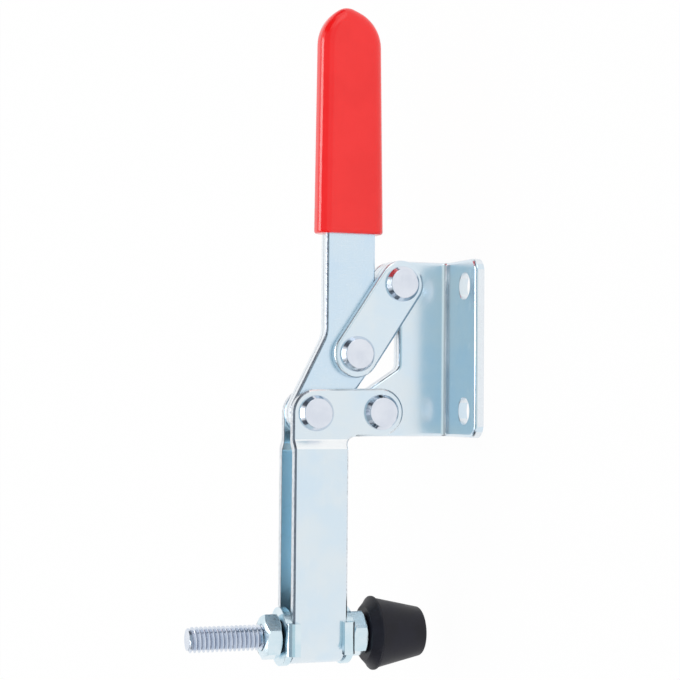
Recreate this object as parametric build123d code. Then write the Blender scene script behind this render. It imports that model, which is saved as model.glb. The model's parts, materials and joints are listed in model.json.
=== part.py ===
from build123d import *
import math
import os

# Horizontal-handle toggle clamp with a folded U-bar, flanged base and adjustable spindle.
# Frame: the mounting face of the two base flanges lies in Z = 0 and the origin is the centre
# of their four bolt holes. +Z points away from the mounting face, +X runs from the arm towards
# the handle, and the clamp is symmetric about Y = 0. It is drawn closed. All sizes in mm.

# ---- sheet metal stack ---------------------------------------------------------------------
sheet = 3.0                 # thickness of every pressed plate
layer_gap = 0.1             # running gap between the inner and the outer layer of plates
press_edge = 0.6            # broken edge that the press leaves on the outer side of a plate
outer_in = sheet + layer_gap        # inner face of the links and of the U-bar's head
outer_out = outer_in + sheet        # outer face of the same plates

# ---- linkage pivots, as (X, Z) -------------------------------------------------------------
base_arm_pivot = (-20.3, 26.2)
arm_handle_pivot = (-20.7, 47.9)
base_link_pivot = (20.5, 19.4)
link_handle_pivot = (-2.0, 34.4)
lobe_r = 7.5                # radius of every plate round its pivot

# ---- rivets --------------------------------------------------------------------------------
shank_r = 3.15
running_fit = 0.05          # radial clearance where a plate turns on a rivet
head_r = 5.6
head_flat_r = 4.55
head_h = 2.5
head_side_h = 0.8           # straight side under the head's slanted shoulder

# ---- base plates ---------------------------------------------------------------------------
base_half_len = 28.0        # half length along X
flange_reach = 26.3         # from the middle plane to the free edge of a flange
flange_bend_r = 1.7         # inside radius where the web turns into the flange
flange_corner_r = 4.5
bolt_spacing_x = 39.3
bolt_spacing_y = 35.2
bolt_hole_r = 4.25
window_z = 18.9             # height of the window's straight edge
window_low_x = -6.2         # where that edge meets the slope down to the arm pivot
window_high_x = 7.8         # where it meets the slope up to the link pivot
window_corner_r = 2.5
web_top_z = 40.0            # height of the blank before the web's outline is cut

# ---- U-bar ---------------------------------------------------------------------------------
arm_low_z = 37.7            # edge of the arm that faces the base
arm_high_z = 55.4
arm_gap = 10.4              # clear width between the arm's two sides
arm_end_x = -98.8           # outside of the fold at the far end
jog_start = 9.2             # distance from the arm pivot at which the sides begin to spread
jog_end = 11.9
jog_bend_r = 1.5
neck_r = 3.4                # inside corner between head and arm

# ---- handle --------------------------------------------------------------------------------
handle_low_z = 27.3         # edge of the straight part that faces the base
handle_high_z = 43.8
handle_knee_x = 4.0         # where the upper edge slopes up to the arm's pivot
handle_knee_r = 9.0
handle_end_x = 105.4
handle_end_r = 6.0

# ---- grip ----------------------------------------------------------------------------------
grip_start_x = 36.1
grip_half_thick = 5.1
grip_low_z = 24.2
grip_high_z = 46.8
grip_taper = 0.7            # how much each long edge draws in towards the end
grip_low_shoulder_x = 104.3
grip_high_shoulder_x = 101.6
grip_tip = (109.4, 37.0)
grip_end_r = 5.5
grip_edge_r = 3.4
grip_mouth_r = 0.9

# ---- spindle, nuts, washers and tip --------------------------------------------------------
spindle_x = -90.3
thread_r = 3.97             # outside radius of the 5/16 inch coarse thread
spindle_top_z = 87.6
spindle_point = 0.9         # chamfer at the spindle's free end
hex_across_flats = 12.7
nut_h = 6.75
nut_turn = 8.0              # degrees by which the nuts stand turned from flat-on
nut_chamfer_deg = 30.0
nut_flat_share = 0.97       # width of a nut's round end face over its width across flats
thread_fit = 0.05
bolt_head_h = 5.3
washer_t = 1.3
washer_r = 9.1
washer_hole_r = 4.3
washer_lip_reach = 1.7      # how far a lip grips past the arm's edge
washer_lip_half = 5.3
washer_lip_gap = 0.05
washer_bend_r = 1.0
tip_clear = 0.2             # gap between the lower nut and the rubber
tip_wall = 2.6              # rubber between that gap and the spindle's head
tip_bottom_z = 7.8
tip_rim_z = 26.6
tip_back_r = 8.6
tip_rim_r = 11.6
tip_nose_r = 7.6
tip_rim_round = 0.8
tip_nose_round = 1.2

# ---- heights that follow along the spindle ---------------------------------------------------
upper_nut_z = arm_high_z + washer_t
lower_nut_z = arm_low_z - washer_t - nut_h
tip_back_z = lower_nut_z - tip_clear
bolt_head_top_z = tip_back_z - tip_wall


def plan(shape, start, thick):
    """Sketch drawn in X and Z, made into a plate from Y = -start to Y = -(start + thick)."""
    return Pos(0, -start, 0) * extrude(Plane.XZ * shape, amount=thick)


def far_side(solid):
    return mirror(solid, about=Plane.XZ)


def disc(centre, radius):
    return Pos(centre[0], centre[1]) * Circle(radius)


def tangent_side(a, b, radius, side):
    """End points of the line that touches two equal lobes on their left (+1) or right (-1)."""
    run = Vector(b[0] - a[0], b[1] - a[1]).normalized()
    off = Vector(-run.Y, run.X) * (radius * side)
    return (a[0] + off.X, a[1] + off.Y), (b[0] + off.X, b[1] + off.Y)


def tangent_point(centre, radius, outside, side):
    """Point where a line from an outside point touches a circle, on its left or right."""
    dx = outside[0] - centre[0]
    dy = outside[1] - centre[1]
    away = math.atan2(dy, dx)
    open_angle = math.acos(radius / math.hypot(dx, dy))
    a = away + side * open_angle
    return centre[0] + radius * math.cos(a), centre[1] + radius * math.sin(a)


def strap(a, b, radius):
    """Bar with round ends about two pivots."""
    left = tangent_side(a, b, radius, 1)
    right = tangent_side(a, b, radius, -1)
    bar = make_face(Polyline(left[0], left[1], right[1], right[0], close=True))
    return bar + disc(a, radius) + disc(b, radius)


def break_edge(skin):
    """Break the outline of one skin of a plate: the edges that only one of its faces has."""
    edges = [e for face in skin for e in face.outer_wire().edges()]
    outline = [e for e in edges if sum(e.is_same(other) for other in edges) == 1]
    return chamfer(outline, press_edge)


def break_outer_edge(plate):
    return break_edge([plate.faces().sort_by(Axis.Y)[0]])


# ---- base ----------------------------------------------------------------------------------

def base_web_outline():
    """Web of a base plate: a lobe about each of its pivots, and a window between them."""
    low_r = base_half_len + base_arm_pivot[0]
    high_r = base_half_len - base_link_pivot[0]
    low_corner = (window_low_x, window_z)
    high_corner = (window_high_x, window_z)
    low_touch = tangent_point(base_arm_pivot, low_r, low_corner, 1)
    high_touch = tangent_point(base_link_pivot, high_r, high_corner, -1)
    body = make_face(Polyline(
        (-base_half_len, 0), (base_half_len, 0), (base_half_len, base_link_pivot[1]), base_link_pivot,
        high_touch, high_corner, low_corner, low_touch, base_arm_pivot,
        (-base_half_len, base_arm_pivot[1]), close=True))
    whole = body + disc(base_arm_pivot, low_r) + disc(base_link_pivot, high_r)
    corners = [v for v in whole.vertices()
               if abs(v.Y - window_z) < 0.01 and abs(v.X) < window_high_x + 0.01]
    return fillet(corners, window_corner_r)


def base_plate():
    """One flanged plate: the near one, whose web stands on the middle plane."""
    section = make_face(Polyline(
        (0, 0), (flange_reach, 0), (flange_reach, sheet), (sheet, sheet),
        (sheet, web_top_z), (0, web_top_z), close=True))
    section = fillet(section.vertices().sort_by_distance((0, 0))[0], flange_bend_r + sheet)
    section = fillet(section.vertices().sort_by_distance((sheet, sheet))[0], flange_bend_r)
    across = Plane(origin=(-base_half_len, 0, 0), x_dir=(0, -1, 0), z_dir=(-1, 0, 0))
    angle = extrude(across * section, amount=-2 * base_half_len)
    plate = angle & plan(base_web_outline(), -1, flange_reach + 2)
    for x_side in (-1, 1):
        edge = plate.edges().filter_by(Axis.Z).sort_by_distance(
            (x_side * base_half_len, -flange_reach, sheet / 2))[0]
        plate = fillet(edge, flange_corner_r)
    plate = break_edge([f for f in plate.faces() if is_upper_skin(f)])
    for x_side in (-1, 1):
        hole = Cylinder(bolt_hole_r, 3 * sheet)
        plate -= Pos(x_side * bolt_spacing_x / 2, -bolt_spacing_y / 2, 0) * hole
    for pivot in (base_arm_pivot, base_link_pivot):
        plate -= plan(disc(pivot, shank_r), -1, sheet + 2)
    return plate


def is_upper_skin(face):
    """True on the side of the angle that the bend turns towards."""
    at = face.center()
    out = face.normal_at(at)
    on_web = at.Z > sheet and at.Y < -sheet + 0.01 and out.Y < -0.5
    on_flange = at.Z > sheet - 0.01 and out.Z > 0.5 and at.Y < -sheet
    return on_web or on_flange


# ---- U-bar ---------------------------------------------------------------------------------

def u_bar_outline():
    """Side view: a head about both pivots and the arm that leaves it at a right angle."""
    head = strap(base_arm_pivot, arm_handle_pivot, lobe_r)
    arm_mid_z = (arm_low_z + arm_high_z) / 2
    arm_width = arm_high_z - arm_low_z
    arm_len = arm_handle_pivot[0] - (arm_end_x - 1)
    arm = Pos(arm_handle_pivot[0] - arm_len / 2, arm_mid_z) * Rectangle(arm_len, arm_width)
    whole = head + arm
    neck = whole.vertices().sort_by_distance((base_arm_pivot[0] - lobe_r, arm_low_z))[0]
    return fillet(neck, neck_r)


def u_bar_strip():
    """Strip folded round the arm's end, seen from above, its two sides set out past the head."""
    def skin(head_half, arm_half, shift):
        x_top = base_arm_pivot[0] + lobe_r + 1
        x_a = base_arm_pivot[0] - jog_start + shift
        x_b = base_arm_pivot[0] - jog_end + shift
        x_fold = arm_end_x + arm_gap / 2 + sheet
        side = FilletPolyline((x_top, -head_half), (x_a, -head_half), (x_b, -arm_half),
                              (x_fold, -arm_half), radius=jog_bend_r)
        fold = ThreePointArc((x_fold, -arm_half), (x_fold - arm_half, 0), (x_fold, arm_half))
        closing = Line((x_top, head_half), (x_top, -head_half))
        return make_face(Curve() + [side, fold, mirror(side, about=Plane.XZ), closing])

    spread = math.atan2(arm_gap / 2 - outer_in, jog_end - jog_start)
    shift = sheet * math.tan(spread / 2) / 2
    outer = skin(outer_out, arm_gap / 2 + sheet, shift)
    inner = skin(outer_in, arm_gap / 2, -shift)
    return Pos(0, 0, base_arm_pivot[1] - lobe_r - 1) * extrude(outer - inner, amount=60)


def u_bar():
    bar = u_bar_strip() & plan(u_bar_outline(), -20, 40)
    bar = break_edge([f for f in bar.faces() if is_outer_skin(f)])
    for pivot in (base_arm_pivot, arm_handle_pivot):
        bar -= plan(disc(pivot, shank_r + running_fit), -20, 40)
    return bar


def is_outer_skin(face):
    """True on the outside of the folded strip, from the head's faces round the fold."""
    at = face.center()
    out = face.normal_at(at)
    return out.Y * at.Y > 0.05 or (abs(at.Y) < 0.1 and out.X < -0.5)


# ---- handle --------------------------------------------------------------------------------

def handle_outline():
    """Straight shank that bends up to the arm's pivot, with lobes about both of its pivots."""
    low = tangent_side(arm_handle_pivot, link_handle_pivot, lobe_r, -1)
    knee = (handle_knee_x, handle_high_z)
    knee_touch = tangent_point(arm_handle_pivot, lobe_r, knee, 1)
    body = make_face(Polyline(
        arm_handle_pivot, low[0], low[1], link_handle_pivot,
        (link_handle_pivot[0], handle_low_z), (handle_end_x, handle_low_z),
        (handle_end_x, handle_high_z), knee, knee_touch, close=True))
    ends = [v for v in body.vertices() if v.X > handle_end_x - 0.01]
    body = fillet(ends, handle_end_r)
    bend = body.vertices().sort_by_distance(knee)[0]
    body = fillet(bend, handle_knee_r)
    return body + disc(arm_handle_pivot, lobe_r) + disc(link_handle_pivot, lobe_r)


def handle_plate():
    plate = break_outer_edge(plan(handle_outline(), 0, sheet))
    arm_hole = plan(disc(arm_handle_pivot, shank_r + running_fit), -1, sheet + 2)
    link_hole = plan(disc(link_handle_pivot, shank_r), -1, sheet + 2)
    return plate - arm_hole - link_hole


def handle_grip():
    """Dipped sleeve: straight-sided, drawn in a little, with a blunt pointed end."""
    outline = make_face(Polyline(
        (grip_start_x, grip_low_z),
        (grip_low_shoulder_x, grip_low_z + grip_taper),
        grip_tip,
        (grip_high_shoulder_x, grip_high_z - grip_taper),
        (grip_start_x, grip_high_z), close=True))
    ends = [v for v in outline.vertices() if v.X > grip_start_x + 1]
    outline = fillet(ends, grip_end_r)
    sleeve = plan(outline, -grip_half_thick, 2 * grip_half_thick)
    long_edges = [e for e in sleeve.edges()
                  if abs(abs(e.center().Y) - grip_half_thick) < 0.01
                  and e.center().X > grip_start_x + 0.01]
    sleeve = fillet(long_edges, grip_edge_r)
    mouth = sleeve.faces().sort_by(Axis.X)[0].edges()
    sleeve = fillet(mouth, grip_mouth_r)
    return sleeve - handle_blank()


def handle_blank():
    """Both handle plates together, without their holes."""
    near = break_outer_edge(plan(handle_outline(), 0, sheet))
    return near + far_side(near)


# ---- links ---------------------------------------------------------------------------------

def link_plate():
    outline = strap(base_link_pivot, link_handle_pivot, lobe_r)
    plate = break_outer_edge(plan(outline, outer_in, sheet))
    base_hole = plan(disc(base_link_pivot, shank_r), outer_in - 1, sheet + 2)
    handle_hole = plan(disc(link_handle_pivot, shank_r + running_fit), outer_in - 1, sheet + 2)
    return plate - base_hole - handle_hole


# ---- rivets --------------------------------------------------------------------------------

def rivet_half(seat, inner_end):
    """Half a rivet on the Z axis: its head seated at one height, its shank down to another."""
    profile = make_face(Polyline(
        (0, inner_end), (shank_r, inner_end), (shank_r, seat), (head_r, seat),
        (head_r, seat + head_side_h), (head_flat_r, seat + head_h), (0, seat + head_h),
        close=True))
    return revolve(Plane.XZ * profile, axis=Axis.Z)


def rivet(pivot, seat, inner_end=0.0):
    """Whole rivet across the plates, or two ends of one where inner_end is above zero."""
    half = rivet_half(seat, inner_end)
    near = Pos(pivot[0], 0, pivot[1]) * (Rot(90, 0, 0) * half)
    if inner_end > 0:
        return [near, far_side(near)]
    return [near + far_side(near)]


# ---- spindle -------------------------------------------------------------------------------

def hexagon(height):
    return extrude(RegularPolygon(hex_across_flats / 2, 6, major_radius=False), amount=height)


def chamfered_hex(height, top, bottom):
    """Hexagonal block whose corners are turned off at one or both ends."""
    corner_r = hex_across_flats / 2 / math.cos(math.radians(30)) + 0.1
    flat_r = hex_across_flats / 2 * nut_flat_share
    drop = (corner_r - flat_r) * math.tan(math.radians(nut_chamfer_deg))
    low_end = [(flat_r, 0), (corner_r, drop)] if bottom else [(corner_r, 0)]
    high_end = [(corner_r, height - drop), (flat_r, height)] if top else [(corner_r, height)]
    profile = make_face(Polyline((0, 0), *low_end, *high_end, (0, height), close=True))
    return hexagon(height) & revolve(Plane.XZ * profile, axis=Axis.Z)


def nut():
    block = chamfered_hex(nut_h, True, True)
    return Rot(0, 0, nut_turn) * (block - Cylinder(thread_r + thread_fit, 4 * nut_h))


def spindle_bolt():
    """Threaded spindle, drawn at the thread's outside size, with its head at the bottom."""
    rod = extrude(Circle(thread_r), amount=spindle_top_z - bolt_head_top_z)
    rod = chamfer(rod.edges().sort_by(Axis.Z)[-1], spindle_point)
    head = chamfered_hex(bolt_head_h, False, True)
    return Pos(spindle_x, 0, bolt_head_top_z) * (rod + Pos(0, 0, -bolt_head_h) * head)


def flanged_washer():
    """Disc whose two lips fold over the arm's sides. Seated on Z = 0, lips pointing down."""
    lip_in = arm_gap / 2 + sheet + washer_lip_gap
    lip_out = lip_in + washer_t
    side = make_face(Polyline(
        (-lip_out, washer_t), (lip_out, washer_t), (lip_out, -washer_lip_reach),
        (lip_in, -washer_lip_reach), (lip_in, 0), (-lip_in, 0), (-lip_in, -washer_lip_reach),
        (-lip_out, -washer_lip_reach), close=True))
    bends = [v for v in side.vertices() if v.Y > washer_t - 0.01]
    side = fillet(bends, washer_bend_r)
    across = Plane(origin=(-washer_lip_half, 0, 0), x_dir=(0, 1, 0), z_dir=(1, 0, 0))
    channel = extrude(across * side, amount=2 * washer_lip_half)
    cap = extrude(Circle(washer_r), amount=washer_t)
    return channel + cap - Cylinder(washer_hole_r, 4 * washer_t)


def rubber_tip():
    """Moulded cone, wide at its back rim, that is pressed over the spindle's head."""
    profile = make_face(Polyline(
        (0, tip_bottom_z), (tip_nose_r, tip_bottom_z), (tip_rim_r, tip_rim_z),
        (tip_back_r, tip_back_z), (0, tip_back_z), close=True))
    nose = profile.vertices().sort_by_distance((tip_nose_r, tip_bottom_z))[0]
    profile = fillet(nose, tip_nose_round)
    rim = profile.vertices().sort_by_distance((tip_rim_r, tip_rim_z))[0]
    profile = fillet(rim, tip_rim_round)
    cone = revolve(Plane.XZ * profile, axis=Axis.Z)
    return Pos(spindle_x, 0, 0) * cone - spindle_bolt()


# ---- placing and writing -------------------------------------------------------------------

def all_parts():
    base = base_plate()
    handle = handle_plate()
    link = link_plate()
    washer = flanged_washer()
    parts = {
        "base_plate_near": [base],
        "base_plate_far": [far_side(base)],
        "u_bar": [u_bar()],
        "handle_plate_near": [handle],
        "handle_plate_far": [far_side(handle)],
        "handle_grip": [handle_grip()],
        "link_plate_near": [link],
        "link_plate_far": [far_side(link)],
        "rivet_base_arm": rivet(base_arm_pivot, outer_out + running_fit),
        "rivet_arm_handle": rivet(arm_handle_pivot, outer_out),
        "rivet_link_handle": rivet(link_handle_pivot, outer_out + running_fit),
        "rivet_base_link": rivet(base_link_pivot, outer_out, outer_in),
        "spindle_bolt": [spindle_bolt()],
        "rubber_tip": [rubber_tip()],
        "nut_upper": [Pos(spindle_x, 0, upper_nut_z) * nut()],
        "nut_lower": [Pos(spindle_x, 0, lower_nut_z) * nut()],
        "flanged_washer_upper": [Pos(spindle_x, 0, arm_high_z) * washer],
        "flanged_washer_lower": [Pos(spindle_x, 0, arm_low_z) * (Rot(180, 0, 0) * washer)],
    }
    return parts


os.makedirs("parts", exist_ok=True)
for name, shapes in all_parts().items():
    solids = [s for shape in shapes for s in shape.solids()]
    node = solids[0] if len(solids) == 1 else Compound(children=solids)
    export_step(node, f"parts/{name}.step")
    size = node.bounding_box().size
    print(f"{name}: {len(solids)} solid, {size.X:.1f} x {size.Y:.1f} x {size.Z:.1f} mm")
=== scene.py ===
# %% [markdown]
# # A toggle clamp, dressed for the camera
# The clamp's solids come from the CAD pack, in metres, with the mounting face at Z = 0. Pressed
# plates keep the outline of their solid. Turned, threaded and moulded parts are modelled here,
# because a finer mesh than the solid's shows in their highlights.

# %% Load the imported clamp
import bmesh
import bpy
import json
import math
from mathutils import Matrix, Vector


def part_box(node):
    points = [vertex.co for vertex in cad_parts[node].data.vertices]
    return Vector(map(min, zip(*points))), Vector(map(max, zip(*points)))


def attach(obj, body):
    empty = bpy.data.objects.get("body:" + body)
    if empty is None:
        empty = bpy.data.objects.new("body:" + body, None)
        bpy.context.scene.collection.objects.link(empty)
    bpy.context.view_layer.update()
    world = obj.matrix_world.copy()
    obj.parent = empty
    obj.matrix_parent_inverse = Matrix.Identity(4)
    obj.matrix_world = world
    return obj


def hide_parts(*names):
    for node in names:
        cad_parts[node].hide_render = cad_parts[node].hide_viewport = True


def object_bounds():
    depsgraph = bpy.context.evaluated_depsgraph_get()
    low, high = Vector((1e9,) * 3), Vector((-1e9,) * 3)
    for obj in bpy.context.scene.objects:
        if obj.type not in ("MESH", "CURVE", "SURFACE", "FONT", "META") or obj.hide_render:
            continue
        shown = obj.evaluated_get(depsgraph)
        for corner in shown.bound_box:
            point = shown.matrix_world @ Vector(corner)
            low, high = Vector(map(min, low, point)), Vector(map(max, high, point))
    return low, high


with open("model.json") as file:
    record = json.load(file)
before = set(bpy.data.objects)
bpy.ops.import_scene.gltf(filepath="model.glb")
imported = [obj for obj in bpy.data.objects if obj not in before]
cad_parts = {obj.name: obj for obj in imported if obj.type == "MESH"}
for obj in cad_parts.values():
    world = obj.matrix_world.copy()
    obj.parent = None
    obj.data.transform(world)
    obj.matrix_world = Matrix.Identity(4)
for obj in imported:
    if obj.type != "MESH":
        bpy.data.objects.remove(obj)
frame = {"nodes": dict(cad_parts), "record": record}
cad_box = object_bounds()
mm = 0.001
record = frame["record"]
body_of = {node: body for body, nodes in record["behaviour"]["bodies"].items() for node in nodes}

# %% [markdown]
# ## Camera
# A long lens from well to the left of the plates' normal shows their sheared edges. The view's up
# is the clamp's +X, so that the clamp stands on its spindle end with the handle above.

# %% Place the camera
view_px = 680
focal_px = 1700
camera_at = Vector((-15.4, -507.2, 219.7)) * mm
yaw, pitch, roll = (math.radians(a) for a in (19.7, 1.9, 0.5))


def in_clamp(right, up, near):
    """A direction said as the camera sees the plates, turned into the clamp's own axes."""
    return Vector((up, -near, -right))


level_ahead = in_clamp(math.sin(yaw), 0, -math.cos(yaw))
level_right = in_clamp(math.cos(yaw), 0, math.sin(yaw))
plumb = in_clamp(0, 1, 0)
ahead = level_ahead * math.cos(pitch) + plumb * math.sin(pitch)
tilted_up = plumb * math.cos(pitch) - level_ahead * math.sin(pitch)
right = level_right * math.cos(roll) + tilted_up * math.sin(roll)
up = tilted_up * math.cos(roll) - level_right * math.sin(roll)

lens = bpy.data.cameras.new("long_lens")
lens.sensor_width = 36
lens.lens = lens.sensor_width * focal_px / view_px
lens.clip_start, lens.clip_end = 0.01, 20
camera = bpy.data.objects.new("camera", lens)
bpy.context.scene.collection.objects.link(camera)
camera.matrix_world = Matrix.Translation(camera_at) @ Matrix((right, up, -ahead)).transposed().to_4x4()
bpy.context.scene.camera = camera
bpy.context.scene.view_settings.view_transform = "Standard"
print(f"lens {lens.lens:.0f} mm at {[round(c / mm) for c in camera_at]} mm")

# %% [markdown]
# ## Shader sums in Python
# A node graph is easier to read as sums. `Value` wraps one socket, so that `clouds * 0.05 + rough`
# adds its own Math nodes, and `Graph.add` makes any other node.

# %% Wrap sockets and graphs


def srgb(red, green, blue, alpha=1.0):
    """A colour picked on screen, 0 to 255, as the linear numbers that a shader takes."""
    parts = [c / 255 for c in (red, green, blue)]
    return (*(c / 12.92 if c <= 0.04045 else ((c + 0.055) / 1.055) ** 2.4 for c in parts), alpha)


class Value:
    """One output socket that takes part in sums."""

    def __init__(self, graph, socket):
        self.graph, self.socket = graph, socket

    def math(self, operation, *values):
        sockets = dict(enumerate((self, *values)))
        return self.graph.add("ShaderNodeMath", {"operation": operation}, sockets)

    def __add__(self, other):
        return self.math("ADD", other)

    def __sub__(self, other):
        return self.math("SUBTRACT", other)

    def __mul__(self, other):
        return self.math("MULTIPLY", other)

    def within(self, low, high, soft):
        """1 between low and high, falling to 0 over a soft border on both sides."""
        return self.ramp(low - soft, low + soft) * self.ramp(high + soft, high - soft)

    def ramp(self, low, high):
        """0 below low and 1 above high, eased between them. Low may be the larger one."""
        sockets = {"Value": self, "From Min": low, "From Max": high}
        return self.graph.add("ShaderNodeMapRange", {"interpolation_type": "SMOOTHSTEP"}, sockets)


class Graph:
    """The nodes of one material or world."""

    def __init__(self, owner):
        owner.use_nodes = True
        self.tree = owner.node_tree
        self.tree.nodes.clear()

    def add(self, kind, settings=None, sockets=None, output=0):
        """A node of any type: its settings first, then values or links for its sockets."""
        node = self.tree.nodes.new(kind)
        for name, value in (settings or {}).items():
            setattr(node, name, value)
        for key, value in (sockets or {}).items():
            if isinstance(key, int):
                socket = node.inputs[key]
            else:
                socket = next(s for s in node.inputs if s.name == key and s.enabled)
            if isinstance(value, Value):
                self.tree.links.new(value.socket, socket)
            else:
                socket.default_value = value
        if not node.outputs:
            return None
        if isinstance(output, int):
            return Value(self, [s for s in node.outputs if s.enabled][output])
        return Value(self, node.outputs[output])

    def noise(self, where, scale, detail=2.0, roughness=0.5):
        sockets = {"Vector": where, "Scale": scale, "Detail": detail, "Roughness": roughness}
        return self.add("ShaderNodeTexNoise", None, sockets)

    def stretched(self, where, scale, turn=(0, 0, 0)):
        """Coordinates scaled unevenly, for marks that run one way."""
        return self.add("ShaderNodeMapping", None, {"Vector": where, "Scale": scale, "Rotation": turn})

    def mix(self, share, a, b):
        sockets = {"Factor": share, "A": a, "B": b}
        return self.add("ShaderNodeMix", {"data_type": "RGBA"}, sockets)


def new_material(name):
    """A material, its graph, and the coordinates that stay with the piece when it moves."""
    material = bpy.data.materials.new(name)
    graph = Graph(material)
    where = graph.add("ShaderNodeTexCoord", None, None, "Object")
    return material, graph, where


def close_material(graph, shader):
    graph.add("ShaderNodeOutputMaterial", None, {"Surface": shader})


def bumped(graph, height, strength, distance, sockets):
    """Closes a material with one Principled shader whose surface stands up by a height."""
    relief = {"Height": height, "Strength": strength, "Distance": distance}
    normal = graph.add("ShaderNodeBump", None, relief)
    close_material(graph, graph.add("ShaderNodeBsdfPrincipled", None, {**sockets, "Normal": normal}))


print("shader helpers ready")

# %% [markdown]
# ## Zinc
# Bright zinc plating over rolled steel is a soft mirror with a cold tint. It clouds a little
# where the bath dried, and parts that were tumbled together carry short hairlines. Cut edges are
# flecked where the steel tore, and the floor of a thread's groove is painted darker as painted shade.

# %% Zinc finishes


def zinc(name, cool, warm, rough, cloud_mm=14, hairlines=1.0):
    """Plated steel whose colour drifts between two tints. Hairlines, 0 to 1, is how scratched it is."""
    material, graph, where = new_material(name)
    clouds = graph.noise(where, 1000 / cloud_mm, 3.0, 0.55).ramp(0.3, 0.72)
    rolled = graph.noise(graph.stretched(where, (1, 10, 10)), 300, 3.0, 0.6)
    peel = graph.noise(where, 1500, 2.0)
    long_marks = graph.noise(graph.stretched(where, (1, 1, 30), (0, 0.5, 0)), 300, 1.0).ramp(0.68, 0.71)
    cross_marks = graph.noise(graph.stretched(where, (30, 1, 1), (0, 0.3, 0)), 240, 1.0).ramp(0.69, 0.72)
    marks = (long_marks + cross_marks) * (0.3 * hairlines)
    colour = graph.mix(clouds, cool, warm)
    colour = graph.mix(marks, colour, srgb(246, 249, 252))
    roughness = clouds * 0.05 + rolled * 0.04 + marks * 0.1 + rough
    height = rolled * 1.1 + peel * 0.5 - marks * 0.5
    bumped(graph, height, 0.2, 0.02 * mm,
           {"Base Color": colour, "Metallic": 1.0, "Roughness": roughness})
    return material


def cut_zinc(name, flecks, tint=srgb(236, 242, 247)):
    """The edge that the press cut. Flecks, 0 to 1, is how much of it tore instead of shearing."""
    material, graph, where = new_material(name)
    fleck = graph.noise(graph.stretched(where, (1, 0.35, 1)), 2600, 3.0, 0.65)
    patch = graph.noise(where, 500, 2.0).ramp(0.35, 0.65)
    dark = fleck.ramp(0.62, 0.38) * (patch * 0.4 + 0.45) * flecks
    colour = graph.mix(dark, tint, srgb(104, 108, 118))
    bumped(graph, fleck, 0.5, 0.05 * mm,
           {"Base Color": colour, "Metallic": 1.0, "Roughness": dark * 0.2 + 0.26})
    return material


plate_zinc = zinc("plate_zinc", srgb(213, 230, 242), srgb(224, 234, 240), 0.15)
handle_zinc = zinc("handle_zinc", srgb(205, 226, 243), srgb(214, 231, 243), 0.2)
# the same plating, tinted bluer and paler on the inside of the folded bar as a painted reflection
inside_reflection_zinc = zinc("inside_reflection_zinc", srgb(222, 243, 253), srgb(229, 246, 254), 0.15)
# a paler copy of the plating that paints the highlight on the bend of the base's fold and on the bar's jog
painted_bend_highlight = zinc("painted_bend_highlight", srgb(242, 248, 251), srgb(250, 252, 253), 0.2, hairlines=0.3)
rivet_zinc = zinc("rivet_zinc", srgb(216, 222, 233), srgb(226, 231, 240), 0.11, cloud_mm=5, hairlines=0.5)
fastener_zinc = zinc("fastener_zinc", srgb(206, 228, 238), srgb(222, 236, 243), 0.14, cloud_mm=6,
                     hairlines=0.5)
thread_zinc = zinc("thread_zinc", srgb(208, 217, 230), srgb(224, 230, 240), 0.12, cloud_mm=4, hairlines=0.2)
# a darker copy of the thread's plating, painted shade for the floor of the groove
groove_shade_zinc = zinc("groove_shade_zinc", srgb(140, 150, 170), srgb(160, 170, 186), 0.2, cloud_mm=4, hairlines=0.2)
smooth_cut = cut_zinc("smooth_cut", 0.12)
torn_cut = cut_zinc("torn_cut", 0.7)
# flecked like torn steel and tinted darker as painted shade, for the near, upper rolled border of the
# handle and the bar
torn_and_shaded_roll = cut_zinc("torn_and_shaded_roll", 1.0, srgb(172, 178, 188))
print("zinc finishes:", [m.name for m in bpy.data.materials if "zinc" in m.name])

# %% [markdown]
# ## Vinyl and rubber
# The sleeve is dipped vinyl: a clear, wet-looking skin over a strong red. The tip is moulded
# rubber, nearly black, dull, with the faint grain of its mould.

# %% Soft finishes


def dipped_vinyl():
    material, graph, where = new_material("dipped_vinyl")
    clouds = graph.noise(where, 90, 2.0).ramp(0.3, 0.7)
    drift = graph.noise(where, 320, 2.0)
    pits = graph.noise(where, 2500, 1.0).ramp(0.70, 0.78)
    colour = graph.mix(clouds, srgb(243, 22, 21), srgb(248, 28, 27))
    height = drift * 0.8 + clouds * 0.4 - pits * 0.2
    bumped(graph, height, 0.25, 0.12 * mm,
           {"Base Color": colour, "Roughness": clouds * 0.04 + 0.06, "IOR": 1.55})
    return material


def moulded_rubber():
    material, graph, where = new_material("moulded_rubber")
    clouds = graph.noise(where, 160, 3.0).ramp(0.3, 0.7)
    grain = graph.noise(where, 3200, 2.0)
    colour = graph.mix(clouds, srgb(17, 17, 27), srgb(26, 26, 38))
    bumped(graph, grain, 0.3, 0.03 * mm,
           {"Base Color": colour, "Roughness": clouds * 0.1 + 0.42, "Specular IOR Level": 0.3})
    return material


red_vinyl = dipped_vinyl()
black_rubber = moulded_rubber()
print("soft finishes:", red_vinyl.name, black_rubber.name)

# %% [markdown]
# ## Making pieces
# Every piece is a bmesh that ends as an object at the origin. `dress` gives it its finishes, lets
# it ride on its solid's body and says which solid it stands for.

# %% Shared mesh helpers
flat_deg = 32       # faces that meet at less than this are shaded as one surface
weld = 0.002 * mm   # corners of the solid's mesh closer than this are one corner


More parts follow.
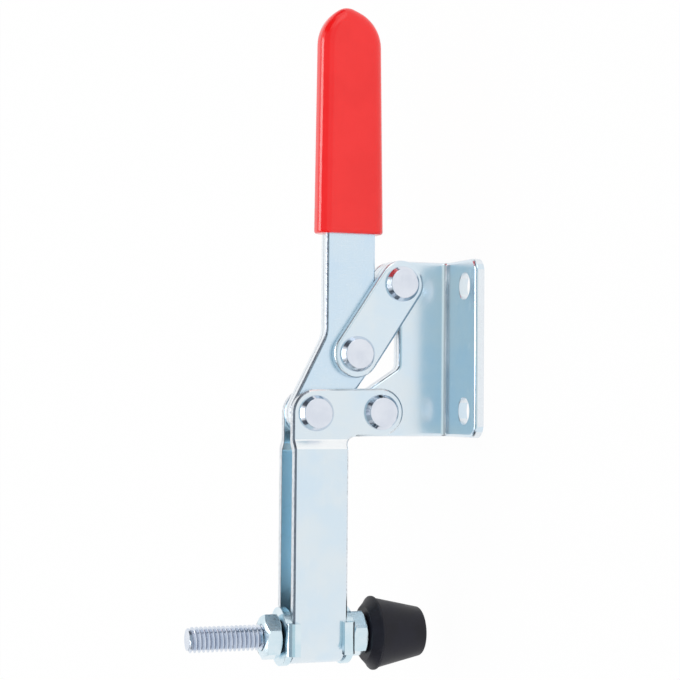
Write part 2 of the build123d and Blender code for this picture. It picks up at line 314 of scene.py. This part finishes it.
def dress(mesh, name, node, slot, *materials):
    """Turns a bmesh into the piece that stands for a CAD node."""
    data = bpy.data.meshes.new(name)
    mesh.to_mesh(data)
    mesh.free()
    for material in materials:
        data.materials.append(material)
    data.polygons.foreach_set("use_smooth", [True] * len(data.polygons))
    data.set_sharp_from_angle(angle=math.radians(flat_deg))
    piece = bpy.data.objects.new(name, data)
    bpy.context.scene.collection.objects.link(piece)
    flats_lead = piece.modifiers.new("flats_lead", "WEIGHTED_NORMAL")
    flats_lead.keep_sharp = True
    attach(piece, body_of[node])
    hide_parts(node)
    print(f"{name}: {len(data.polygons)} faces for {node}")
    return piece


def cad_copy(node):
    """The solid's mesh as one closed shell, with its flat faces whole again."""
    mesh = bmesh.new()
    mesh.from_mesh(frame["nodes"][node].data)
    bmesh.ops.remove_doubles(mesh, verts=mesh.verts, dist=weld)
    bmesh.ops.dissolve_limit(mesh, angle_limit=math.radians(0.5), verts=mesh.verts, edges=mesh.edges)
    return mesh


def edges_that_turn(mesh, low_deg, high_deg):
    """Outward edges whose two faces meet within these angles."""
    return [e for e in mesh.edges if len(e.link_faces) == 2 and e.is_convex
            and low_deg < math.degrees(e.calc_face_angle(0)) < high_deg]


def round_over(mesh, edges, width, segments):
    bmesh.ops.bevel(mesh, geom=edges, offset=width, offset_type="OFFSET", segments=segments,
                    profile=0.5, affect="EDGES", material=-1, clamp_overlap=True)


def pull_out(mesh, faces, way):
    """Extrudes faces as one region along a vector."""
    made = bmesh.ops.extrude_face_region(mesh, geom=faces)
    moved = [v for v in made["geom"] if isinstance(v, bmesh.types.BMVert)]
    bmesh.ops.translate(mesh, verts=moved, vec=way)


# %% [markdown]
# ## Pressed plates
# A press rolls the upper edge of a plate over and tears the lower one. The solid has that roll as
# one 45 degree facet, so rounding both borders of the facet by half its width makes it a true
# quarter round. Faces along the cut get the torn finish.

# %% Roll the edges of every plate
press_edge = 0.6 * mm
roll_width = press_edge / math.sqrt(2) * 0.98
small_edge = 0.12 * mm
base_t = 3 * mm
at_surface = 0.05 * mm      # a face's centre this near a plane counts as on it
fold_top_z, fold_end_y = 7 * mm, 12 * mm
flange_edge_y = 26.2 * mm
past_fold_x, jog_x = -50 * mm, -40 * mm


def pressed(name, node, finish_of, finishes):
    """A plate with rolled edges; finish_of picks a finish for a face from its place and normal."""
    mesh = cad_copy(node)
    round_over(mesh, edges_that_turn(mesh, 40, 50), roll_width, 3)
    round_over(mesh, edges_that_turn(mesh, 80, 100), small_edge, 1)
    mesh.normal_update()
    for face in mesh.faces:
        face.material_index = finish_of(face.calc_center_median(), face.normal)
    return dress(mesh, name, node, "zinc_plate", *finishes)


def on_upper_roll(out):
    """The rolled border on the near, upper side; the handle and the bar fleck it and darken it with painted
    shade.
    """
    return -0.97 < out.y < -0.3 and out.z > 0.2


def flat_plate_finish(at, out):
    """0 the flats, 1 the cut edge, 2 the upper roll."""
    return 2 if on_upper_roll(out) else int(abs(out.y) < 0.3)


def base_finish(at, out):
    """0 the flats, 1 the cut edges, 2 the inside of the fold between web and flange, painted paler as a
    highlight.
    """
    off_web = abs(at.y) > base_t + at_surface
    in_fold = base_t + at_surface < at.z < fold_top_z and off_web and abs(at.y) < fold_end_y
    if in_fold and out.z > 0.2 and abs(out.y) > 0.2:
        return 2
    on_web_edge = not off_web and abs(out.y) < 0.3 and at.z > base_t
    return int(on_web_edge or abs(out.x) > 0.6 or abs(at.y) > flange_edge_y)


def bar_finish(at, out):
    """0 outside, 1 the cut edges, 2 inside the strip, tinted bluer as a painted reflection, 3 the upper
    roll, flecked and darkened with painted shade, 4 the jog's slope, painted paler as a highlight.
    """
    if on_upper_roll(out):
        return 3
    if abs(out.z) > 0.3 or (at.x > past_fold_x and abs(out.y) < 0.3):
        return 1
    if out.x > 0.2 and out.y * at.y > 0 and at.x > jog_x:
        return 4
    inside = out.y * at.y < 0 or (abs(at.y) < 2 * at_surface and out.x > 0.5)
    return 2 if inside else 0


for side in ("near", "far"):
    pressed(f"rolled_base_{side}", f"base_plate_{side}", base_finish,
            (plate_zinc, smooth_cut, painted_bend_highlight))
    pressed(f"rolled_handle_{side}", f"handle_plate_{side}", flat_plate_finish,
            (handle_zinc, smooth_cut, torn_and_shaded_roll))
    pressed(f"rolled_link_{side}", f"link_plate_{side}", flat_plate_finish,
            (plate_zinc, smooth_cut, smooth_cut))
pressed("folded_bar", "u_bar", bar_finish,
        (plate_zinc, torn_cut, inside_reflection_zinc, torn_and_shaded_roll, painted_bend_highlight))

# %% [markdown]
# ## Turned parts
# Rivets and the rubber tip are round, so each is half a profile spun about its axis. A profile is
# a list of corners, and chosen corners become small arcs before the spin.

# %% Spin a profile
round_steps = 96


def spun(profile, steps=round_steps):
    """A closed shell from (radius, height) points, spun about Z. The ends lie on the axis."""
    mesh = bmesh.new()
    points = [mesh.verts.new((r, 0, h)) for r, h in profile]
    edges = [mesh.edges.new(pair) for pair in zip(points, points[1:])]
    bmesh.ops.spin(mesh, geom=points + edges, cent=(0, 0, 0), axis=(0, 0, 1), angle=math.tau,
                   steps=steps, use_merge=True, use_duplicate=False)
    bmesh.ops.remove_doubles(mesh, verts=mesh.verts, dist=0.001 * mm)
    bmesh.ops.recalc_face_normals(mesh, faces=mesh.faces)
    return mesh


def rounded(corner, before, after, radius, steps):
    """Points of a small arc that replaces one corner of a profile."""
    corner, before, after = (Vector(p) for p in (corner, before, after))
    into = (before - corner).normalized()
    out = (after - corner).normalized()
    half = into.angle(out) / 2
    reach = radius / math.tan(half)
    centre = corner + (into + out).normalized() * (radius / math.sin(half))
    start = corner + into * reach - centre
    end = corner + out * reach - centre
    return [tuple(centre + start.slerp(end, i / steps).normalized() * radius) for i in range(steps + 1)]


def soft_profile(points, radii, steps=5):
    """A profile with its corners rounded; radii are named by the corner's index."""
    done = []
    for i, point in enumerate(points):
        if i in radii:
            done += rounded(point, points[i - 1], points[i + 1], radii[i], steps)
        else:
            done.append(point)
    return done


print("profiles can be spun")

# %% Head the rivets
rivet_shank_r = 3.15 * mm
rivet_head_r = 5.6 * mm
rivet_flat_r = 4.55 * mm
rivet_head_h = 2.5 * mm
rivet_side_h = 0.8 * mm
rivet_side_soft, rivet_flat_soft = 0.5 * mm, 0.3 * mm
split_shank_start = 3.1 * mm        # the rivet that is two short ends stops at the base's faces
to_plate_normal = Matrix.Rotation(math.pi / 2, 4, "X")


def head_points(seat, start):
    """Outline of a head from its shank up to the axis, for a seat at that distance."""
    points = [(rivet_shank_r, start), (rivet_shank_r, seat), (rivet_head_r, seat),
              (rivet_head_r, seat + rivet_side_h), (rivet_flat_r, seat + rivet_head_h),
              (0, seat + rivet_head_h)]
    return soft_profile(points, {3: rivet_side_soft, 4: rivet_flat_soft})


def rivet(name, node):
    """A shank with a head on both ends, made as one half and the same half turned over."""
    low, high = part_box(node)
    seat = high.y - rivet_head_h
    start = split_shank_start if node == "rivet_base_link" else 0
    mesh = bmesh.new()
    for turn in (0, math.pi):
        half = spun([(0, start), *head_points(seat, start)])
        bmesh.ops.transform(half, matrix=Matrix.Rotation(turn, 4, "X"), verts=half.verts)
        scrap = bpy.data.meshes.new("half_rivet")
        half.to_mesh(scrap)
        half.free()
        mesh.from_mesh(scrap)
        bpy.data.meshes.remove(scrap)
    middle = (low + high) / 2
    bmesh.ops.transform(mesh, matrix=Matrix.Translation(middle) @ to_plate_normal, verts=mesh.verts)
    return dress(mesh, name, node, "zinc_rivet", rivet_zinc)


for node in ("rivet_base_arm", "rivet_arm_handle", "rivet_link_handle", "rivet_base_link"):
    rivet(node.replace("rivet", "headed_rivet"), node)

# %% [markdown]
# ## Spindle
# Spinning a zigzag while it climbs one pitch a turn makes a thread. Each turn ends exactly on the
# next one's start, so merging doubles joins them into one skin, and cutting both ends flat leaves
# a closed rod. Its upper end is pulled in to a blunt point, and its groove floor is painted darker as
# painted shade.

# %% Cut the thread
thread_r = 3.97 * mm
thread_pitch = 25.4 / 18 * mm
thread_depth = 0.8 * mm
crest_share, root_share = 0.14, 0.2
thread_steps = 48
point_h, point_slope = 0.6 * mm, 0.9
rod_top = 86.9 * mm
hex_width = 12.7 * mm
bolt_head_h = 5.3 * mm


def cut_across(mesh, at, normal, clear=False):
    """Cuts every face along a plane, and drops what lies beyond it when asked."""
    whole = mesh.verts[:] + mesh.edges[:] + mesh.faces[:]
    bmesh.ops.bisect_plane(mesh, geom=whole, plane_co=at, plane_no=normal, clear_outer=clear)


def threaded_rod(low_z, high_z):
    """A closed rod with the thread cut from end to end."""
    turns = math.ceil((high_z - low_z) / thread_pitch) + 2
    flank = (1 - crest_share - root_share) / 2
    stops = ((0, thread_r), (crest_share, thread_r), (crest_share + flank, thread_r - thread_depth),
             (crest_share + flank + root_share, thread_r - thread_depth))
    start_z = low_z - 1.5 * thread_pitch
    mesh = bmesh.new()
    points = [mesh.verts.new((r, 0, start_z + (turn + share) * thread_pitch))
              for turn in range(turns + 1) for share, r in stops]
    edges = [mesh.edges.new(pair) for pair in zip(points, points[1:])]
    bmesh.ops.spin(mesh, geom=points + edges, cent=(0, 0, 0), axis=(0, 0, 1), angle=math.tau,
                   dvec=(0, 0, thread_pitch / thread_steps), steps=thread_steps)
    bmesh.ops.remove_doubles(mesh, verts=mesh.verts, dist=0.01 * mm)
    for z, outwards in ((low_z, -1), (high_z, 1)):
        cut_across(mesh, (0, 0, z), (0, 0, outwards), clear=True)
        rim = [e for e in mesh.edges if e.is_boundary and abs(e.verts[0].co.z - z) < 0.001 * mm]
        bmesh.ops.contextual_create(mesh, geom=rim)
    for share in (0.5, 1):
        cut_across(mesh, (0, 0, high_z - share * point_h), (0, 0, 1))
    for v in mesh.verts:
        limit = thread_r - max(0, v.co.z - (high_z - point_h)) * point_slope
        reach = v.co.xy.length
        if reach > limit:
            v.co.xy *= limit / reach
    bmesh.ops.recalc_face_normals(mesh, faces=mesh.faces)
    return mesh


def across_corners(width):
    """Radius of a hexagon's corners for its width across flats."""
    return width / 2 / math.cos(math.pi / 6)


def hex_block(mesh, width, low_z, height):
    """Adds the bolt's plain hexagon head, which stays hidden in the tip."""
    made = bmesh.ops.create_circle(mesh, cap_ends=True, segments=6, radius=across_corners(width))
    bmesh.ops.rotate(mesh, verts=made["verts"], cent=(0, 0, 0), matrix=Matrix.Rotation(math.pi / 6, 3, "Z"))
    bmesh.ops.translate(mesh, verts=made["verts"], vec=(0, 0, low_z))
    base = [f for f in mesh.faces if all(v in made["verts"] for v in f.verts)]
    pull_out(mesh, base, (0, 0, height))
    bmesh.ops.recalc_face_normals(mesh, faces=mesh.faces)


def in_groove(face):
    """Whether a face of the bare rod is the flat floor of the groove."""
    on_end = face.calc_center_median().xy.length < 0.01 * mm
    reach = max(v.co.xy.length for v in face.verts)
    return not on_end and reach < thread_r - 0.9 * thread_depth


low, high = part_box("spindle_bolt")
spindle_x = (low.x + high.x) / 2
bolt_head_top = low.z + bolt_head_h
rod = threaded_rod(bolt_head_top - 0.2 * mm, rod_top)
# the flat floor of the groove gets the darker zinc, which paints the shade down there
for face in rod.faces:
    face.material_index = int(in_groove(face))
hex_block(rod, hex_width, low.z, bolt_head_h)
bmesh.ops.translate(rod, verts=rod.verts, vec=(spindle_x, 0, 0))
dress(rod, "threaded_spindle", "spindle_bolt", "zinc_fastener", thread_zinc, groove_shade_zinc)

# %% [markdown]
# ## Nuts
# A cone chamfers both ends of a nut, which leaves a bowed line on every flat. One outline is made
# for each small step round the axis: its side is where the flat is at that angle, and the cone
# drops further the farther out that side lies, so the bow comes by itself.

# %% Cut the nuts
nut_h = 5.8 * mm
nut_face_r = 0.86 * hex_width / 2
nut_cone = math.tan(math.radians(30))
bore_r = 4.02 * mm
countersink = 0.45 * mm
nut_turn = math.radians(-10)
corner_round = 0.18 * mm
steps_per_flat = 16


def nut_outline(angle):
    """(radius, height) points of a cut through the nut, at an angle measured from a flat's middle."""
    side_r = hex_width / 2 / math.cos(angle)
    drop = (side_r - nut_face_r) * nut_cone
    return [(bore_r, countersink), (bore_r + countersink, 0), (nut_face_r, 0), (side_r, drop),
            (side_r, nut_h - drop), (nut_face_r, nut_h), (bore_r + countersink, nut_h),
            (bore_r, nut_h - countersink)]


def hex_nut():
    """A nut on Z = 0, closed from its bore to its flats."""
    mesh = bmesh.new()
    rings = []
    for step in range(6 * steps_per_flat):
        turn = step * math.tau / (6 * steps_per_flat)
        from_middle = turn % (math.tau / 6) - math.tau / 12
        rings.append([mesh.verts.new((r * math.cos(turn + nut_turn), r * math.sin(turn + nut_turn), z))
                      for r, z in nut_outline(from_middle)])
    for ring, following in zip(rings, rings[1:] + rings[:1]):
        for k in range(len(ring)):
            mesh.faces.new((ring[k - 1], ring[k], following[k], following[k - 1]))
    bmesh.ops.recalc_face_normals(mesh, faces=mesh.faces)
    corners = [e for e in edges_that_turn(mesh, 50, 70)
               if abs(e.verts[0].co.z - e.verts[1].co.z) > nut_h / 2]
    round_over(mesh, corners, corner_round, 2)
    return mesh


print(f"nuts are {nut_h / mm:.1f} mm high")

# %% [markdown]
# ## Washers
# Each washer is stamped flat, with a round middle and two tongues, and the tongues are folded
# down over the arm. Doing the same here, a flat blank is cut across its fold lines and its
# corners are carried round the fold.

# %% Fold the washers
washer_t = 2.3 * mm
washer_r = 9.1 * mm
tongue_half = 5.05 * mm
fold_y = 8.1 * mm
fold_inner_r = 0.15 * mm
fold_neutral_r = fold_inner_r + 0.4 * washer_t
lip_end_z = -1.8 * mm
fold_steps = 8
arc_steps, hole_steps = 24, 48
hole_r = bore_r * 1.07
washer_edge = 0.16 * mm
lip_reach = 1.7 * mm        # how far the solid's lips come down past the arm's edge
running_gap = 0.02 * mm     # keeps a turning nut's face off its washer's
fold_length = fold_neutral_r * math.pi / 2
tongue_y = fold_y + fold_length - lip_end_z - fold_inner_r


def blank_outline():
    """Corners of the flat blank, counter-clockwise: two arcs and two square tongues."""
    corner = math.asin(tongue_half / washer_r)
    arcs = []
    for start in (-math.pi / 2 + corner, math.pi / 2 + corner):
        steps = [start + i * (math.pi - 2 * corner) / arc_steps for i in range(arc_steps + 1)]
        arcs.append([(washer_r * math.cos(a), washer_r * math.sin(a)) for a in steps])
    return [*arcs[0], (tongue_half, tongue_y), (-tongue_half, tongue_y),
            *arcs[1], (-tongue_half, -tongue_y), (tongue_half, -tongue_y)]


def folded(at):
    """Where a corner of the flat blank ends after the press has folded its tongues."""
    past = abs(at.y) - fold_y
    if past <= 0 or abs(at.x) > tongue_half + 0.01 * mm:
        return at
    angle = min(past / fold_neutral_r, math.pi / 2)
    straight = max(0, past - fold_length)
    reach = fold_inner_r + at.z
    y = fold_y + reach * math.sin(angle)
    z = reach * math.cos(angle) - fold_inner_r - straight
    return Vector((at.x, math.copysign(y, at.y), z))


def loop(mesh, points):
    """Edges of a closed outline on Z = 0."""
    corners = [mesh.verts.new((x, y, 0)) for x, y in points]
    return [mesh.edges.new(pair) for pair in zip(corners, corners[1:] + corners[:1])]


def lipped_washer():
    """A washer on Z = 0 whose lips point down."""
    mesh = bmesh.new()
    hole = [(hole_r * math.cos(a), hole_r * math.sin(a))
            for a in (i * math.tau / hole_steps for i in range(hole_steps))]
    bmesh.ops.triangle_fill(mesh, use_beauty=True, edges=loop(mesh, blank_outline()) + loop(mesh, hole))
    pull_out(mesh, mesh.faces[:], (0, 0, washer_t))
    for side in (-1, 1):
        for step in range(fold_steps + 1):
            cut_y = side * (fold_y + fold_length * step / fold_steps)
            cut_across(mesh, (0, cut_y, 0), (0, 1, 0))
    for v in mesh.verts:
        v.co = folded(v.co)
    bmesh.ops.recalc_face_normals(mesh, faces=mesh.faces)
    bmesh.ops.dissolve_limit(mesh, angle_limit=math.radians(0.5), verts=mesh.verts, edges=mesh.edges)
    round_over(mesh, edges_that_turn(mesh, 60, 100), washer_edge, 2)
    return mesh


print(f"washers are {washer_t / mm:.1f} mm thick")

# %% Fit nuts and washers to the arm
arm_high_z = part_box("flanged_washer_upper")[0].z + lip_reach
arm_low_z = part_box("flanged_washer_lower")[1].z - lip_reach


def on_arm(mesh, seat_z, side):
    """Moves a part made on Z = 0 onto the arm's upper edge, or upside down under its lower one."""
    turn = Matrix.Rotation(0 if side == "upper" else math.pi, 4, "X")
    bmesh.ops.transform(mesh, matrix=Matrix.Translation((spindle_x, 0, seat_z)) @ turn, verts=mesh.verts)
    return mesh


for side, edge_z, out in (("upper", arm_high_z, 1), ("lower", arm_low_z, -1)):
    dress(on_arm(lipped_washer(), edge_z, side), f"lipped_washer_{side}", f"flanged_washer_{side}",
          "zinc_fastener", fastener_zinc)
    nut = hex_nut()
    if side == "lower":     # turning it over will mirror its angle, so it is turned back first
        bmesh.ops.rotate(nut, verts=nut.verts, matrix=Matrix.Rotation(-2 * nut_turn, 3, "Z"))
    dress(on_arm(nut, edge_z + out * (washer_t + running_gap), side), f"hex_nut_{side}", f"nut_{side}",
          "zinc_fastener", fastener_zinc)

# %% [markdown]
# ## Rubber tip
# The tip is one spun profile: a flat nose, a cone, a thin bead round the rim and the slope behind
# it, with the pocket that holds the bolt's head.

# %% Mould the tip
low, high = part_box("rubber_tip")
tip_back_r, tip_rim_r, tip_nose_r = 8.6 * mm, 11.1 * mm, 7.65 * mm
tip_nose_z, tip_rim_z = 10.6 * mm, 26.6 * mm
bead_r, bead_half = 11.6 * mm, 0.45 * mm
tip_back_soft, tip_nose_soft = 0.5 * mm, 0.9 * mm
skin_gap = 0.05 * mm
pocket_r = across_corners(hex_width) + skin_gap
neck_r = thread_r + skin_gap
pocket_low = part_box("spindle_bolt")[0].z
tip_profile = soft_profile([
    (0, pocket_low), (pocket_r, pocket_low), (pocket_r, bolt_head_top), (neck_r, bolt_head_top),
    (neck_r, high.z), (tip_back_r, high.z), (tip_rim_r, tip_rim_z + bead_half),
    (bead_r, tip_rim_z + bead_half / 2), (bead_r, tip_rim_z - bead_half / 2),
    (tip_rim_r, tip_rim_z - bead_half), (tip_nose_r, tip_nose_z), (0, tip_nose_z),
], {5: tip_back_soft, 10: tip_nose_soft})
tip = spun(tip_profile)
bmesh.ops.translate(tip, verts=tip.verts, vec=(spindle_x, 0, 0))
dress(tip, "moulded_tip", "rubber_tip", "black_rubber", black_rubber)

# %% [markdown]
# ## Grip
# The sleeve was dipped over the handle's end, so all its edges are round. Its outline is a few
# corners made into arcs; the slab pulled out of it is rounded along its edges; and its mouth,
# which fits tight round the steel, is rounded less.

# %% Dip the grip
low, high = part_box("handle_grip")
mouth_low_z, mouth_high_z = 24.5 * mm, 46.6 * mm
low_shoulder, low_shoulder_r = (104.0 * mm, 25.7 * mm), 12.3 * mm
sleeve_tip, sleeve_tip_r = (108.9 * mm, 37.5 * mm), 5.2 * mm
high_shoulder, high_shoulder_r = (103.5 * mm, 46.0 * mm), 13.2 * mm
edge_r, mouth_r, mouth_ring = 4.2 * mm, 0.9 * mm, 0.6 * mm
shoulder_steps = 10
nearly = 0.01 * mm


def mouth_face(mesh):
    """The largest face that looks back along the handle."""
    return max((f for f in mesh.faces if f.normal.x < -0.99), key=lambda f: f.calc_area())


grip = bmesh.new()
sleeve_outline = soft_profile(
    [(low.x, mouth_low_z), low_shoulder, sleeve_tip, high_shoulder, (low.x, mouth_high_z)],
    {1: low_shoulder_r, 2: sleeve_tip_r, 3: high_shoulder_r}, shoulder_steps)
ring = [grip.verts.new((x, low.y, z)) for x, z in sleeve_outline]
grip.faces.new(ring)
bmesh.ops.recalc_face_normals(grip, faces=grip.faces)
pull_out(grip, grip.faces[:], (0, high.y - low.y, 0))
bmesh.ops.recalc_face_normals(grip, faces=grip.faces)
rims = [e for e in grip.edges if abs(e.verts[0].co.y - e.verts[1].co.y) < nearly
        and max(v.co.x for v in e.verts) > low.x + nearly]
bmesh.ops.bevel(grip, geom=rims, offset=edge_r, segments=8, profile=0.5, affect="EDGES", material=-1)
bmesh.ops.bevel(grip, geom=mouth_face(grip).edges[:], offset=mouth_r, segments=4, profile=0.5,
                affect="EDGES", material=-1)
bmesh.ops.inset_region(grip, faces=[mouth_face(grip)], thickness=mouth_ring)
dress(grip, "dipped_grip", "handle_grip", "red_vinyl", red_vinyl)

# %% [markdown]
# ## Studio
# A clamp this shiny mostly shows its surroundings. The room is a white tent. Only the metal sees
# its other parts: a greyer opening before the plates, a blue-grey side, dark corners and bright
# panels that light the rolled edges. The floor shows white to the camera and in the metal, and
# keeps the clamp's shadow.

# %% Build the tent


def towards(right_part, up_part, near_part):
    """A unit direction, said as the camera sees the plates."""
    return in_clamp(right_part, up_part, near_part).normalized()


opening_tint = (0.62, 0.75, 0.79, 1)
shade_tint = (0.36, 0.43, 0.48, 1)
corner_tint = (0.07, 0.08, 0.10, 1)
top_tint = (0.14, 0.19, 0.24, 1)
panel_gain = 4.0
front_gain = 0.6

world = bpy.data.worlds.new("tent")
bpy.context.scene.world = world
sky = Graph(world)
direction = sky.add("ShaderNodeTexCoord", None, None, "Generated")
front = towards(0, 0, 1)


def facing(vector):
    """How far the ray points along a direction, from -1 to 1."""
    sockets = {0: direction, 1: tuple(vector)}
    return sky.add("ShaderNodeVectorMath", {"operation": "DOT_PRODUCT"}, sockets, "Value")


above = facing(plumb)
around = facing(towards(1, 0, 0)).math("ARCTAN2", facing(front))
height = above.math("ARCSINE")


def patch(left_deg, right_deg, low_deg, high_deg, soft_deg):
    """A soft-edged patch of the tent, placed by its bearing from the plates' normal and its height."""
    degrees = (left_deg, right_deg, low_deg, high_deg, soft_deg)
    left, right, low, high, soft = (math.radians(a) for a in degrees)
    return around.within(left, right, soft) * height.within(low, high, soft)


opening = patch(-40, 8, -38, 38, 5)
shade = patch(-97, -40, -38, 38, 4)
dark_corners = patch(-130, -60, 32, 64, 5) + patch(-130, -60, -64, -32, 5)
dark_top = height.ramp(math.radians(52), math.radians(62)) * facing(front).ramp(0.05, -0.1)
dark_under = height.ramp(math.radians(-56), math.radians(-66))
side_panel = patch(-124, -98, -20, 20, 3)
front_panel = patch(-30, 70, 36, 74, 6)
path = sky.add("ShaderNodeLightPath", None, None, "Is Glossy Ray")
tent = sky.mix(opening * path, (1, 1, 1, 1), opening_tint)
tent = sky.mix(shade * path, tent, shade_tint)
tent = sky.mix((dark_corners + dark_under).math("MINIMUM", 1) * path, tent, corner_tint)
tent = sky.mix(dark_top * path, tent, top_tint)
strength = (side_panel * panel_gain + front_panel * front_gain) * path + 1
sky.add("ShaderNodeOutputWorld", None, {
    "Surface": sky.add("ShaderNodeBackground", None, {"Color": tent, "Strength": strength})})
print("tent patches hang round the clamp")

# %% Lay the floor
floor_half = 3
paper_white = 0.95
seen_white = 0.95       # share of the floor's white that shows through any shadow

floor_mesh = bmesh.new()
bmesh.ops.create_grid(floor_mesh, x_segments=1, y_segments=1, size=floor_half)
floor_data = bpy.data.meshes.new("floor")
floor_mesh.to_mesh(floor_data)
floor_mesh.free()
floor = bpy.data.objects.new("floor", floor_data)
bpy.context.scene.collection.objects.link(floor)
pale, graph, _ = new_material("pale_floor")
from_camera, from_metal, through = (graph.add("ShaderNodeLightPath", None, None, f"Is {kind} Ray")
                                    for kind in ("Camera", "Glossy", "Transmission"))
seen = from_camera + from_metal + through
paper = graph.add("ShaderNodeBsdfDiffuse", None, {"Color": (paper_white, paper_white, paper_white, 1)})
glow = graph.add("ShaderNodeEmission", None, {"Color": (1, 1, 1, 1), "Strength": 1.0})
sockets = {0: seen * seen_white, 1: paper, 2: glow}
close_material(graph, graph.add("ShaderNodeMixShader", None, sockets))
floor_data.materials.append(pale)
print("the floor is white and keeps the shadow")

# %% Hang the softbox


def softbox(name, toward, distance, size, watts):
    """A round lamp that looks at the clamp's middle from some way off."""
    light = bpy.data.lights.new(name, "AREA")
    light.shape, light.size, light.energy = "DISK", size, watts
    lamp = bpy.data.objects.new(name, light)
    bpy.context.scene.collection.objects.link(lamp)
    middle = (cad_box[0] + cad_box[1]) / 2
    lamp.location = middle + toward * distance
    lamp.rotation_mode = "QUATERNION"
    lamp.rotation_quaternion = (-toward).to_track_quat("-Z", "Y")
    light.specular_factor = 0.5
    return lamp


key = softbox("key", towards(0.5, 0.3, 0.8), 0.9, 0.5, 2.0)
print(f"{key.name} lamp of {key.data.energy:.0f} W hangs {key.location.length:.1f} m off")
